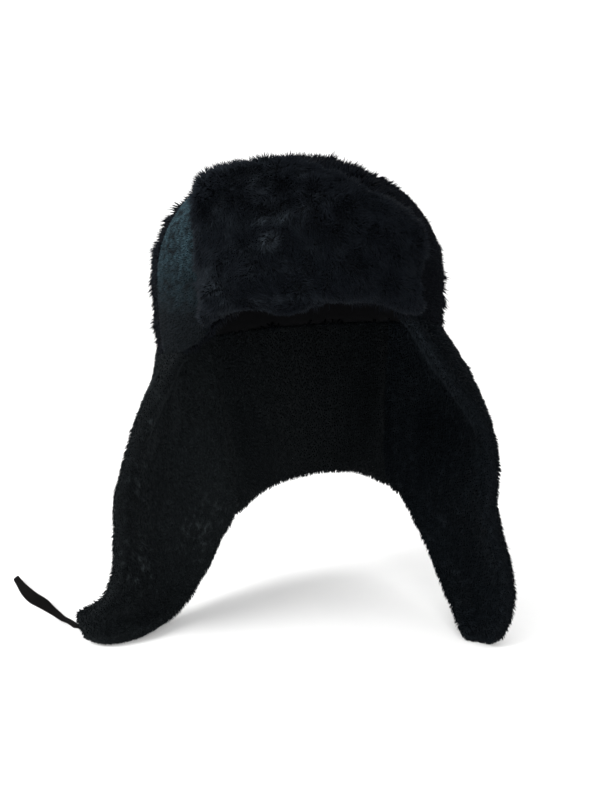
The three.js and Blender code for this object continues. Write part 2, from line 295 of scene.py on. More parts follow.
def fur_material(name, root, tip, pale, gloss, sheen):
    """Pile that is darkest at its roots, a little different on every lock, and paler in places, from lint and paler
    tips and from painted light and painted highlights.
    """
    looks = {
        "Specular IOR Level": gloss,
        "Sheen Weight": sheen,
        "Sheen Roughness": 0.4,
        "Sheen Tint": (0.72, 0.86, 1.0),
    }
    made, nodes, shader, place = material(name, 0.62, **looks)
    up, shade, light = nodes.attribute("tip"), nodes.attribute("shade"), nodes.attribute("pale")
    patch = nodes.cloud(place, 22.0, 3.0)
    fleck = nodes.cloud(place, 420.0, 1.0)
    fibre = nodes.cloud(place, 1500.0, 1.0)
    lift = (up * (0.5 + shade * 0.45) * (0.5 + patch * 1.0) * (0.55 + fibre * 0.9)).clamped()
    colour = nodes.colour_mix(lift, root, tip)
    # the pale attribute brings lint and paler tips into the colour, and also painted light and painted highlights
    wisp = (light * up * (0.25 + shade)).clamped()
    colour = nodes.colour_mix(wisp, colour, pale)
    feed(nodes, shader, "Base Color", colour)
    feed(nodes, shader, "Roughness", 0.5 + fleck * 0.22)
    height = fleck * 0.5 + fibre * 0.5
    bump = nodes.add("ShaderNodeBump", {}, {"Strength": 0.5, "Distance": 0.0006, "Height": height})
    feed(nodes, shader, "Normal", bump["Normal"])
    return made


def cloth_material(name, thread, between, pitch, rough):
    """Plain woven cloth: threads that cross over and under at a given pitch."""
    made, nodes, shader, place = material(name, rough, **{"Specular IOR Level": 0.08, "Sheen Weight": 0.02})
    split = nodes.add("ShaderNodeSeparateXYZ", {}, {0: place})
    turn = 2 * math.pi / pitch

    def wave(axis, phase):
        return nodes.add("ShaderNodeMath", {"operation": "SINE"}, {0: split[axis] * turn + phase})["Value"]

    weave = (wave("X", 0.0) * wave("Z", 0.7) + wave("Y", 0.3) * wave("Z", 1.9)) * 0.25 + 0.5
    worn = nodes.cloud(place, 60.0, 3.0)
    share = (weave * 0.7 + worn * 0.3).clamped()
    feed(nodes, shader, "Base Color", nodes.colour_mix(share, between, thread))
    feed(nodes, shader, "Roughness", rough - 0.1 + worn * 0.15)
    bump = nodes.add("ShaderNodeBump", {}, {"Strength": 0.5, "Distance": 0.0003, "Height": weave})
    feed(nodes, shader, "Normal", bump["Normal"])
    return made


def tape_material():
    """Ribbed cotton tape, with its ribs counted along its own length."""
    made, nodes, shader, place = material("black_tape", 0.85, **{"Specular IOR Level": 0.03})
    rib, edge = nodes.attribute("rib"), nodes.attribute("edge")
    dust = nodes.cloud(place, 260.0, 3.0)
    share = (rib * 0.45 + dust * 0.4 + edge * 0.2).clamped()
    colour = nodes.colour_mix(share, (0.0006, 0.0005, 0.0005), (0.0036, 0.0031, 0.0031))
    feed(nodes, shader, "Base Color", colour)
    feed(nodes, shader, "Roughness", 0.7 + dust * 0.2)
    bump = nodes.add("ShaderNodeBump", {}, {"Strength": 0.4, "Distance": 0.0003, "Height": dust})
    feed(nodes, shader, "Normal", bump["Normal"])
    return made


# Each kind of pile, some of them copies darkened as painted shade: its roots, tips and pale wisps, its gloss and its
# sheen
VISOR_FUR = fur_material(
    "black_pile", (0.0008, 0.0011, 0.0018), (0.0068, 0.0094, 0.0138), (0.06, 0.075, 0.09), 0.04, 0.015
)
# painted shade: the crown's pile is a darker copy of the visor's pile, to hold back the light that its grazing locks
# catch
CROWN_FUR = fur_material(
    "crown_pile", (0.0006, 0.0008, 0.0013), (0.005, 0.0068, 0.0102), (0.05, 0.06, 0.07), 0.03, 0.0
)
FLAP_FUR = fur_material(
    "flap_pile", (0.001, 0.0013, 0.0016), (0.0069, 0.009, 0.0102), (0.062, 0.075, 0.08), 0.04, 0.015
)
# painted shade: the right flap takes a darker copy of the flap pile, as if it lay in shade
PAINTED_SHADE_FLAP_FUR = fur_material(
    "dark_flap_pile", (0.0007, 0.0011, 0.0016), (0.0037, 0.0056, 0.0076), (0.05, 0.065, 0.08), 0.035, 0.005
)
# the left panel's sheared pile: its pale colour is partly the pile's own teal grey and partly painted light where the
# light rakes over it
PANEL_FUR = fur_material(
    "sheared_pile", (0.001, 0.0014, 0.0019), (0.0042, 0.006, 0.0078), (0.039, 0.078, 0.098), 0.05, 0.02
)
# painted shade: the right panel takes a copy of the sheared pile with a dull pale colour, standing for the same pile
# in shade
PAINTED_SHADE_PANEL_FUR = fur_material(
    "dark_sheared_pile", (0.0008, 0.001, 0.0014), (0.0052, 0.0068, 0.0098), (0.03, 0.04, 0.05), 0.03, 0.0
)
LINING = cloth_material("lining_cloth", (0.004, 0.0042, 0.005), (0.0012, 0.0013, 0.0017), 0.9 * MM, 0.9)
TAPE = tape_material()


# The tie: a flat tape that leaves the left flap's tip and lies on the ground
TIE_ROUTE = [  # x, y, z and width in millimetres, roll in degrees
    (-159, -36, -309, 4.2, -15),
    (-166.8, -23, -312, 4.2, -10),
    (-174, -13.5, -314.2, 4.8, -8),
    (-182, -1.5, -316, 6, -6),
    (-189.7, 7.5, -316, 7.5, -12),
    (-197.1, 15.3, -315.3, 9, -24),
    (-206.8, 23.8, -314.5, 9, -35),
    (-216.5, 37.2, -314.8, 8, -35),
    (-225.5, 52.6, -315.4, 6, -35),
    (-232.9, 65.8, -315.7, 5, -35),
]
TIE_THICK = 1.3 * MM
TIE_WIDE = 8.5 * MM
TIE_STEPS = 560
RIB_PITCH = 1.1 * MM
CLEAR = 0.2 * MM  # between the tape and the ground
TUCKED = np.array((5.0, -2.0, 0.5)) * MM  # the tape's way on into the flap's pile
THREADS = 16  # stand out of the cut end
THREAD_THICK = 0.16 * MM


def spline(rows, count):
    """Catmull-Rom through the rows, as many even steps as asked for."""
    rows = np.array(rows, float)
    padded = np.vstack([2 * rows[0] - rows[1], rows, 2 * rows[-1] - rows[-2]])
    at = np.linspace(0, len(rows) - 1, count)
    i = np.minimum(at.astype(int), len(rows) - 2)
    t = (at - i)[:, None]
    a, b, c, d = (padded[i + k] for k in range(4))
    return 0.5 * (2 * b + (c - a) * t + (2 * a - 5 * b + 4 * c - d) * t**2 + (3 * b - a - 3 * c + d) * t**3)


def finished(name, points, faces, materials, attributes=None):
    """A mesh object at the origin with its point attributes and materials."""
    mesh = bpy.data.meshes.new(name)
    mesh.from_pydata([tuple(p) for p in points], [], faces)
    for key, values in (attributes or {}).items():
        mesh.attributes.new(key, "FLOAT", "POINT").data.foreach_set("value", np.asarray(values, np.float32))
    for each in materials:
        mesh.materials.append(each)
    mesh.shade_smooth()
    made = bpy.data.objects.new(name, mesh)
    bpy.context.collection.objects.link(made)
    return made


def make_tie():
    """A ribbed tape swept along its route, with thicker edges, and threads at its cut end."""
    steps = TIE_STEPS
    route = spline(TIE_ROUTE, steps)
    centre = route[:, :3] * MM
    along = np.gradient(centre, axis=0)
    along /= np.linalg.norm(along, axis=1)[:, None]
    flat = np.cross((0, 0, 1), along)
    flat /= np.linalg.norm(flat, axis=1)[:, None]
    up = np.cross(along, flat)
    roll = np.radians(route[:, 4])[:, None]
    wide = flat * np.cos(roll) + up * np.sin(roll)
    thin = np.cross(wide, along)
    travelled = np.concatenate([[0], np.cumsum(np.linalg.norm(np.diff(centre, axis=0), axis=1))])
    rib = 0.5 + 0.5 * np.cos(travelled * 2 * math.pi / RIB_PITCH)
    across = np.array([-1, -0.94, -0.8, -0.45, 0, 0.45, 0.8, 0.94, 1])
    height = np.array([0.25, 0.95, 0.8, 0.74, 0.72, 0.74, 0.8, 0.95, 0.25])
    upper = list(zip(across, height))
    outline = upper + [(x, -h) for x, h in upper[::-1]]
    points, ribs, edges = [], [], []
    for k in range(steps):
        rounded = max(0.0, (k / steps - 0.98) / 0.02)
        half = route[k, 3] * MM / 2 * math.sqrt(1 - 0.7 * rounded**2)
        fray = 1 - 0.5 * max(0.0, (k - steps * 0.965) / (steps * 0.035))
        for x, h in outline:
            lift = h * TIE_THICK / 2 * (0.86 + 0.2 * rib[k]) * fray
            q = centre[k] + wide[k] * x * half + thin[k] * lift
            q[2] = max(q[2], GROUND + CLEAR)
            points.append(q)
            ribs.append(rib[k])
            edges.append(abs(x) > 0.9)
    n = len(outline)
    tucked = [centre[0] + TUCKED + (q - centre[0]) * 0.95 for q in points[:n]]
    points = tucked + points
    ribs = ribs[:n] + ribs
    edges = edges[:n] + edges
    rings = steps + 1
    faces = [
        (k * n + i, k * n + (i + 1) % n, (k + 1) * n + (i + 1) % n, (k + 1) * n + i)
        for k in range(rings - 1)
        for i in range(n)
    ]
    faces += [tuple(range(n))[::-1], tuple(range((rings - 1) * n, rings * n))]
    random = np.random.default_rng(5)
    for _ in range(THREADS):
        side = random.uniform(-0.9, 0.9)
        start = centre[-1] - along[-1] * 0.0012 + wide[-1] * side * route[-1, 3] * MM / 2
        spread = wide[-1] * (side * 0.5 + random.normal(0, 0.2))
        reach = along[-1] + spread + up[-1] * random.normal(0.12, 0.1)
        length = random.uniform(0.0015, 0.0042)
        first = len(points)
        for t in (0, 0.5, 1):
            middle = start + reach * length * t - np.array((0, 0, 0.0008)) * t * t
            middle[2] = max(middle[2], GROUND + 2 * CLEAR)
            for turn in range(3):
                angle = turn * 2 * math.pi / 3
                way = wide[-1] * math.cos(angle) + up[-1] * math.sin(angle)
                points.append(middle + way * THREAD_THICK * (1.05 - t))
                ribs.append(0.7)
                edges.append(1)
        for t in range(2):
            a = first + 3 * t
            faces += [(a + i, a + (i + 1) % 3, a + 3 + (i + 1) % 3, a + 3 + i) for i in range(3)]
        faces += [(first + 2, first + 1, first), (first + 6, first + 7, first + 8)]
    tie = finished("tie_tape", points, faces, [TAPE], {"rib": ribs, "edge": edges})
    turn_outwards(tie.data)
    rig.ride(tie, "root")
    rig.replaces(tie, "tie")
    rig.slot(tie, "tape")
    path = centre[:: steps // 36]
    if np.linalg.norm(path[-1] - centre[-1]) > 1e-6:
        path = np.vstack([path, centre[-1]])
    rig.cord(
        tie,
        exit=centre[0],
        length=float(travelled[-1]),
        diameter=TIE_WIDE,
        far_end="bare",
        stiffness="limp",
        lay="loose",
        path=path.tolist(),
    )


def turn_outwards(mesh):
    work = bmesh.new()
    work.from_mesh(mesh)
    bmesh.ops.recalc_face_normals(work, faces=work.faces)
    work.to_mesh(mesh)
    work.free()


make_tie()


def pile_tree():
    """Locks of fur stood on a pelt: they lean with the comb, wander, and draw together into tufts."""
    tree = bpy.data.node_groups.new("pile", "GeometryNodeTree")
    named = {}
    for name, kind in (
        ("Pelt", "NodeSocketGeometry"),
        ("Locks per square metre", "NodeSocketFloat"),
        ("Lock length", "NodeSocketFloat"),
        ("Lock width", "NodeSocketFloat"),
        ("Wander", "NodeSocketFloat"),
        ("Tufts per metre", "NodeSocketFloat"),
        ("Tuft pull", "NodeSocketFloat"),
        ("Seed", "NodeSocketInt"),
        ("Root tone", "NodeSocketFloat"),
        ("Fur", "NodeSocketMaterial"),
    ):
        named[name] = tree.interface.new_socket(name, in_out="INPUT", socket_type=kind).identifier
    tree.interface.new_socket("Furred pelt", in_out="OUTPUT", socket_type="NodeSocketGeometry")
    nodes = Nodes(tree)
    given = nodes.add("NodeGroupInput", {}, {})
    add = nodes.add

    def mark(name, kind="FLOAT"):
        return add("GeometryNodeInputNamedAttribute", {"data_type": kind}, {"Name": name})["Attribute"]

    def chance(low, high, seed):
        ends = {"Min_001": low, "Max_001": high, "Seed": given["Seed"] + seed}
        return add("FunctionNodeRandomValue", {"data_type": "FLOAT"}, ends)["Value_001"]

    def store(geometry, name, value, domain):
        given_values = {"Geometry": geometry, "Name": name, "Value": value}
        settings = {"data_type": "FLOAT", "domain": domain}
        return add("GeometryNodeStoreNamedAttribute", settings, given_values)["Geometry"]

    density = given["Locks per square metre"] * mark("cover")
    scattered = add(
        "GeometryNodeDistributePointsOnFaces",
        {"distribute_method": "RANDOM"},
        {"Mesh": given["Pelt"], "Density": density, "Seed": given["Seed"]},
    )
    place = add("GeometryNodeInputPosition", {}, {})["Position"]
    swirl = add("ShaderNodeTexNoise", {}, {"Vector": place, "Scale": 26.0, "Detail": 2.0})["Color"]
    cells = {"Vector": place, "Scale": given["Tufts per metre"]}
    tuft = add("ShaderNodeTexVoronoi", {"feature": "F1"}, cells)
    patch = add("ShaderNodeTexNoise", {}, {"Vector": place, "Scale": 45.0, "Detail": 1.0})[0]
    gather = ((patch - 0.42) * 5.0).clamped()
    pull = (tuft["Position"] - place) * given["Tuft pull"] * gather
    jitter = add(
        "FunctionNodeRandomValue",
        {"data_type": "FLOAT_VECTOR"},
        {0: (-0.3, -0.3, -0.3), 1: (0.3, 0.3, 0.3), "Seed": given["Seed"] + 11},
    )[0]
    wander = (swirl - 0.5) * given["Wander"]
    lean = scattered["Normal"] + mark("comb", "FLOAT_VECTOR") + wander + pull + jitter
    turned = add("FunctionNodeAlignRotationToVector", {"axis": "Z"}, {"Vector": lean})["Rotation"]
    spin = {"Axis": (0, 0, 1), "Angle": chance(0.0, 6.28, 23)}
    about = {"Rotation": turned, "Rotate By": add("FunctionNodeAxisAngleToRotation", {}, spin)["Rotation"]}
    turned = add("FunctionNodeRotateRotation", {"rotation_space": "LOCAL"}, about)
    lock = add(
        "GeometryNodeMeshCone",
        {"fill_type": "NGON"},
        {
            "Vertices": 3,
            "Radius Top": 0.0,
            "Radius Bottom": given["Lock width"] * 0.5,
            "Depth": given["Lock length"],
        },
    )["Mesh"]
    lock = add("GeometryNodeSetMaterial", {}, {"Geometry": lock, "Material": given["Fur"]})["Geometry"]
    height = add("ShaderNodeSeparateXYZ", {}, {0: place})["Z"] / given["Lock length"]
    tone = given["Root tone"] + height * (1 - given["Root tone"])
    lock = store(lock, "tip", tone, "POINT")
    grown = chance(0.0, 1.0, 31)
    size = (0.85 + grown * 0.2 + grown**14 * 0.3) * mark("pile")
    stood = add(
        "GeometryNodeInstanceOnPoints",
        {},
        {
            "Points": scattered["Points"],
            "Instance": lock,
            "Rotation": turned["Rotation"],
            "Scale": add("ShaderNodeCombineXYZ", {}, {"X": 1.0, "Y": 1.0, "Z": size})["Vector"],
        },
    )["Instances"]
    stood = store(stood, "shade", chance(0.0, 1.0, 47), "INSTANCE")
    joined = add("GeometryNodeJoinGeometry", {}, {"Geometry": given["Pelt"]})
    tree.links.new(stood.socket, joined.node.inputs["Geometry"])
    whole = add("GeometryNodeRealizeInstances", {}, {"Geometry": joined["Geometry"]})["Geometry"]
    below = {"data_type": "FLOAT", "operation": "LESS_THAN"}
    furred = add("FunctionNodeCompare", below, {0: mark("lined"), 1: 0.5})["Result"]
    chosen = {"Geometry": whole, "Selection": furred, "Material": given["Fur"]}
    coated = add("GeometryNodeSetMaterial", {}, chosen)
    out = add("NodeGroupOutput", {}, {"Furred pelt": coated["Geometry"]})
    out.node.is_active_output = True
    return tree, named


PILE, PILE_INPUTS = pile_tree()


def solid_copy(node, voxel):
    """An even mesh over a CAD node's form."""
    work = bmesh.new()
    work.from_mesh(frame["nodes"][node].data)
    bmesh.ops.remove_doubles(work, verts=work.verts, dist=1e-6)
    mesh = bpy.data.meshes.new(node)
    work.to_mesh(mesh)
    work.free()
    made = bpy.data.objects.new(node + "_pelt", mesh)
    bpy.context.collection.objects.link(made)
    even = made.modifiers.new("even", "REMESH")
    even.mode, even.voxel_size = "VOXEL", voxel
    keep(made, even)
    places, _ = points_of(made.data)
    way, off = way_to(surface_tree([node]), places)
    move_points(made.data, places + way * off[:, None])
    return made


def keep(made, modifier):
    """Turns what a modifier gives into the object's own mesh."""
    made_mesh = bpy.data.meshes.new_from_object(made.evaluated_get(bpy.context.evaluated_depsgraph_get()))
    made.modifiers.remove(modifier)
    made.data = made_mesh


def points_of(mesh):
    places = np.empty(len(mesh.vertices) * 3)
    mesh.vertices.foreach_get("co", places)
    facing = np.empty(len(mesh.vertices) * 3)
    mesh.vertex_normals.foreach_get("vector", facing)
    return places.reshape(-1, 3), facing.reshape(-1, 3)


def move_points(mesh, places):
    mesh.vertices.foreach_set("co", places.ravel())
    mesh.update()


FILL_STEPS = 14


def puff(made, pressure, most):
    """Fills a pad by a short cloth simulation, and lets no point move further than the cap."""
    before, _ = points_of(made.data)
    cloth = made.modifiers.new("fill", "CLOTH")
    settings = cloth.settings
    settings.use_pressure, settings.uniform_pressure_force = True, pressure
    settings.effector_weights.gravity = 0
    settings.quality = 4
    cloth.collision_settings.use_collision = False
    cloth.point_cache.frame_start, cloth.point_cache.frame_end = 1, FILL_STEPS
    scene = bpy.context.scene
    for step in range(1, FILL_STEPS + 1):
        scene.frame_set(step)
        bpy.context.view_layer.update()
    keep(made, cloth)
    scene.frame_set(1)
    after, _ = points_of(made.data)
    moved = after - before
    far = np.linalg.norm(moved, axis=1)[:, None]
    moved *= np.minimum(1, most / np.maximum(far, 1e-9))
    move_points(made.data, before + moved)


def surface_tree(names):
    """The CAD surface of some nodes, for finding the nearest place on it."""
    points, faces = [], []
    for name in names:
        mesh = frame["nodes"][name].data
        faces += [[len(points) + i for i in face.vertices] for face in mesh.polygons]
        points += [v.co.copy() for v in mesh.vertices]
    return BVHTree.FromPolygons(points, faces)


def way_to(tree, places):
    """The way from each point to the nearest place on a surface, and its distance."""
    way = np.array([tree.find_nearest(Vector(p))[0] for p in places]) - places
    far = np.linalg.norm(way, axis=1)
    return way / np.maximum(far, 1e-7)[:, None], far


SEAM_REACH = 6 * MM  # the pile leans over a seam from this far away
HIDDEN_UNDER = 2.5 * MM  # a side this close to another piece carries no pile
SEAM_CLOSED = 3 * MM  # gaps up to this are closed
SEAM_GAP = 0.1 * MM  # what is left of such a gap


def close_seams(node, made):
    """Brings the pelt's edges up to the pieces beside it, and says how near and which way they are."""
    places, facing = points_of(made.data)
    own = surface_tree([node])
    others = surface_tree([name for name in frame["nodes"] if name != node])
    far = way_to(others, places)[1]
    way, off = way_to(own, places)
    near = np.clip(2 - far / SEAM_REACH * 2, 0, 1)
    places = places + way * (off * near)[:, None]
    way, far = way_to(others, places)
    towards = np.sum(way * facing, axis=1)
    step = np.maximum(far / 2 - SEAM_GAP / 2, 0) * (far < SEAM_CLOSED) * np.clip(towards * 2, 0, 1)
    places = places + way * step[:, None]
    move_points(made.data, places)
    return way, far, towards


def rolling(places, size, seed):
    """Smooth unevenness from -1 to 1 over a length."""
    shift = Vector((seed * 7.3, seed * 3.1, seed * 5.7))
    return np.array([noise.noise(Vector(p) / size + shift) for p in places])


# Soft folds on the flaps' inner sides, in millimetres: one end, the other end, radius and height
FOLDS = {
    "ear_flap_left": [
        ((-89, -12, -114), (-92, 14, -172), 8.0, 2.0),
        ((-87, 12, -116), (-86, 30, -172), 7.0, -2.2),
        ((-96, -6, -150), (-104, -4, -225), 9.0, -1.5),
    ],
    "ear_flap_right": [
        ((96, 5, -110), (112, 20, -190), 9.0, 1.4),
        ((88, 30, -115), (92, 48, -190), 7.0, -1.6),
    ],
}


def fold_heights(node, places, facing):
    """How far the folds on a flap's inner side stand out, or lie in, at each point."""
    height = np.zeros(len(places))
    side = 1 if node == "ear_flap_left" else -1
    inner = np.clip(facing[:, 0] * side * 3, 0, 1)
    for start, end, radius, most in FOLDS.get(node, []):
        start, end = np.array(start) * MM, np.array(end) * MM
        line = end - start
        share = np.clip((places - start) @ line / (line @ line), 0, 1)
        away = np.linalg.norm(places - start - share[:, None] * line, axis=1) / (radius * MM)
        height += most * MM * np.exp(-(away**2)) * inner
    return height


LEAST_ABOVE = 1.2 * MM  # of the pelt over the ground


def fur_piece(node, slot, fur, marks, sizes):
    """A pelt over a CAD node, drawn in by part of its pile, with locks of fur stood on it.

    Between the locks the pelt itself stands for pile of a given height, from 0 at the roots
    to 1 at the tips. The sizes say how far the pelt is drawn in and how lumpy it is, how
    dense (for each square millimetre), long and wide the locks are, how they wander and
    draw together, and with what pressure and how far at most a cloth simulation fills it.
    """
    made = solid_copy(node, sizes["voxel"])
    if "pressure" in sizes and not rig.quick():
        puff(made, sizes["pressure"], sizes["most"])
    way, far, towards = close_seams(node, made)
    places, facing = points_of(made.data)
    given = marks(places, facing)
    seam = np.clip(1 - far / SEAM_REACH, 0, 1) * (1 - given.get("lined", 0.0))
    hidden = (far < HIDDEN_UNDER) & (towards > 0.75)
    cover = given["cover"] * np.where(hidden, 0.0, 1 + 0.6 * seam)
    given["cover"] = cover
    given["comb"] = given["comb"] * (1 - seam)[:, None] + way * (1.3 * seam)[:, None]
    given["pile"] = given.get("pile", 1.0) * (1 - 0.35 * seam)
    seed = sizes["seed"]
    lumps = 0.9 * rolling(places, 0.022, seed) + 0.6 * rolling(places, 0.009, seed + 1)
    folds = fold_heights(node, places, facing)
    drawn = (sizes["inset"] - folds + lumps * sizes["lumpy"]) * given["inset"] * np.clip(1 - 2 * seam, 0, 1)
    places = places - facing * drawn[:, None]
    places[:, 2] = np.maximum(places[:, 2], GROUND + LEAST_ABOVE)
    move_points(made.data, places)
    count = len(places)
    given["tip"], given["shade"] = sizes["between"], 0.5
    for key in ("cover", "pile", "pale", "lined", "tip", "shade"):
        values = given.get(key, 0.0)
        made.data.attributes.new(key, "FLOAT", "POINT").data.foreach_set(
            "value", np.broadcast_to(values, count).astype(np.float32)
        )
    comb = given["comb"] - facing * np.sum(given["comb"] * facing, axis=1)[:, None]
    combed = made.data.attributes.new("comb", "FLOAT_VECTOR", "POINT")
    combed.data.foreach_set("vector", comb.astype(np.float32).ravel())
    made.data.materials.clear()
    made.data.materials.append(LINING)
    made.data.shade_smooth()
    grown = made.modifiers.new("pile", "NODES")
    grown.node_group = PILE
    for name, value in (
        ("Locks per square metre", sizes["locks"] * 1e6),
        ("Lock length", sizes["length"]),
        ("Lock width", sizes["width"]),
        ("Wander", sizes["wander"]),
        ("Tufts per metre", 1 / sizes["tuft"]),
        ("Tuft pull", sizes["pull"]),
        ("Seed", seed),
        ("Root tone", sizes.get("roots", 0.0)),
        ("Fur", fur),
    ):
        grown[PILE_INPUTS[name]] = value
    keep(made, grown)
    made.data.shade_smooth()
    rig.ride(made, "root")
    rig.replaces(made, node)
    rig.slot(made, slot)
    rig.padded(made, fill=0.7)


def even_comb(places, direction):
    """The same lean for every lock."""
    return np.broadcast_to(np.array(direction, float), places.shape).copy()


# Lighter wisps on the visor's face, in millimetres: paler tips and, in part, painted highlight where the hair catches
# the light
WISPS = [  # x, z, half length, half height, slant in degrees and how pale
    (-20.4, -19.5, 4.5, 1.6, 10, 0.95),
    (-8.0, -17.0, 6.0, 2.2, 20, 0.75),
    (-28.0, -39.5, 4.0, 1.3, -5, 0.5),
    (-54.0, -50.0, 5.0, 6.0, 0, 0.6),
    (-48.5, -58.5, 5.0, 4.0, 30, 0.7),
    (-44.0, -66.5, 4.0, 2.5, 0, 0.35),
    (-25.0, -67.0, 5.0, 2.0, 15, 0.4),
    (-13.0, -66.5, 3.0, 2.4, 40, 0.55),
    (-4.3, -66.5, 3.0, 2.0, -20, 0.4),
    (12.0, -62.0, 4.0, 1.0, 0, 0.3),
    (-24.0, 2.0, 3.0, 5.0, 0, 0.3),
    (10.0, -6.0, 2.5, 2.0, 0, 0.35),
    (18.0, -12.0, 2.0, 1.5, 0, 0.3),
]
WHORL = (-16.9, -32.3, 5.5)  # x, z and reach in millimetres of the hairs that turn
# the pale ring in the whorl is a painted highlight where the turning hairs catch the light
WHORL_RING = 2.4 * MM  # radius of the pale ring in the whorl
WHORL_PALE = 0.75


def visor_marks(places, facing):
    """Mottled pile that is paler towards the left as painted light, with wisps and a whorl on its face that are in
    part painted highlight.
    """
    front = np.clip(-facing[:, 1] * 3, 0, 1)
    # painted light: the pile grows paler towards the left, where the light falls
    leftward = np.clip((0.06 - places[:, 0]) / 0.09, 0, 1)
    mottle = np.clip(rolling(places, 0.011, 21) * 1.6 + rolling(places, 0.0045, 22) * 1.4 - 0.25, 0, 1)
    pale = (0.03 + 0.24 * mottle) * (0.15 + 0.85 * leftward)
    # wisps: paler tips and, in part, painted highlight
    for x, z, long, high, slant, strength in WISPS:
        dx, dz = places[:, 0] / MM - x, places[:, 2] / MM - z
        c, k = math.cos(math.radians(slant)), math.sin(math.radians(slant))
        away = ((dx * c + dz * k) / long) ** 2 + ((dz * c - dx * k) / high) ** 2
        pale = np.maximum(pale, strength * np.exp(-away))
    x, z, radius = WHORL
    dx, dz = places[:, 0] - x * MM, places[:, 2] - z * MM
    ring = (dx**2 + dz**2) / WHORL_RING**2
    pale = np.maximum(pale, WHORL_PALE * ring * np.exp(1 - ring))
    turning = np.exp(-((np.hypot(dx, dz) / (radius * MM)) ** 2)) * front
    spiral = np.stack([-dz + 0.9 * dx, 0 * dx, dx + 0.9 * dz], 1) / (0.002 + np.hypot(dx, dz))[:, None]
    down = 0.25 + 0.55 * np.clip((places[:, 2] + 0.068) / 0.025, 0, 1)
    hanging = even_comb(places, (0.15, 0, 0)) - np.outer(down, (0, 0, 1))
    comb = hanging * (1 - turning)[:, None] + spiral * (1.6 * turning)[:, None]
    swirl = np.stack([rolling(places, 0.012, 31), 0 * dx, rolling(places, 0.012, 33)], 1)
    comb = comb + 1.5 * swirl * (1 - turning)[:, None]
    pile = 1 + 0.3 * rolling(places, 0.009, 35) + 0.7 * rolling(places, 0.005, 37)
    pile *= 1 - 0.5 * np.clip(-facing[:, 2], 0, 1)
    full = np.clip(facing[:, 2] * 1.5, 0, 1) * np.exp(-(((places[:, 0] + 0.03) / 0.035) ** 2))
    cover = np.where(facing[:, 1] > 0.4, 0.25, 1.0)
    return {"cover": cover, "inset": 1 - 1.1 * full, "pale": pale * front, "pile": pile, "comb": comb}


# Where the pile lies flatter, in millimetres
PRESSED = (95, -20, -25)
LEFT_RIM = (-96, -35, -100)


def near_place(places, middle, radius):
    """1 at a place given in millimetres, and less further away from it."""
    away = np.linalg.norm(places - np.array(middle) * MM, axis=1)
    return np.exp(-((away / radius) ** 2))


def crown_marks(places, facing):
    """Deep pile outside, and a lined hollow that carries none."""
    out = places - np.array(BROW)
    inside = (np.sum(out * facing, axis=1) < 0) & (facing[:, 2] > -0.6)
    comb = even_comb(places, (0, 0.5, -0.9))
    pile = 1 + 0.4 * rolling(places, 0.012, 36) + 0.9 * rolling(places, 0.0065, 38)
    drawn = near_place(places, PRESSED, 0.035)
    rim = near_place(places, LEFT_RIM, 0.03)
    pile *= 1 - 0.2 * drawn - 0.45 * rim
    inset = ~inside * (1 + 0.6 * drawn + 0.4 * rim)
    return {"cover": ~inside * 1.0, "inset": inset, "lined": inside * 1.0, "comb": comb, "pile": pile}


# Where lint has gathered on the flaps, in millimetres
LINT = [
    (-70, 37, -256),
    (-78, 27, -264),
    (-110, -24, -199),
    (-101, -46, -150),
    (-115, -29, -258),
    (-113, -22, -272),
]
LINT_REACH = 14 * MM
# Where the left flap's pile is shorter
DARK_PATCH = (-113, -26, -222)
TOE_CORNER = (-154, -48, -316)


def flap_marks(side):
    """Short pile that hangs down, with lint and with painted light on the inner side, and shorter still at the front
    edge and near the ground.
    """

    def marks(places, facing):
        comb = even_comb(places, (0.15 * side, -0.1, -1.1))
        inner = facing[:, 0] * side < 0
        patches = 0.2 + sum(near_place(places, p, LINT_REACH) for p in LINT)
        lint = patches * np.clip(rolling(places, 0.0035, 12) * 3.5 - 0.7, 0, 1)
        # painted light: the inner side is paler towards the back on the left flap and towards the top on the right
        # flap
        deep = 0.17 * np.clip((places[:, 1] + 0.045) / 0.09, 0, 1)
        high = 0.13 * np.clip((places[:, 2] + 0.17) / 0.06, 0, 1)
        pale = 0.8 * np.clip(lint, 0, 1) * inner + (deep if side < 0 else high) * inner
        pile = 1 - 0.4 * near_place(places, LEFT_RIM, 0.03) + 0.4 * rolling(places, 0.006, 40)
        pile *= 1 - 0.35 * np.clip(-3 * facing[:, 1] - 1.5, 0, 1)
        pile *= 1 - 0.45 * near_place(places, TOE_CORNER, 0.02)
        pile *= np.clip((places[:, 2] - GROUND) / (8 * MM), 0.4, 1)
        pile *= 1 - 0.45 * near_place(places, DARK_PATCH, 0.013)
        drawn = 1 + 2.5 * near_place(places, TOE_CORNER, 0.009)
        cover = np.where(inner, 1.0, 0.75)
        return {"cover": cover, "inset": drawn, "comb": comb, "pale": pale, "pile": pile}

    return marks


def neck_marks(places, facing):
    inner = facing[:, 1] < 0
    ones = np.ones(len(places))
    # painted light: the inner side is paler towards the left, beside the lit left flap
    pale = 0.1 * np.clip(0.2 - places[:, 0] / 0.07, 0, 1) * inner
    comb = even_comb(places, (0, 0, -1.1))
    return {"cover": np.where(inner, 0.8, 1.0), "inset": ones, "comb": comb, "pale": pale}


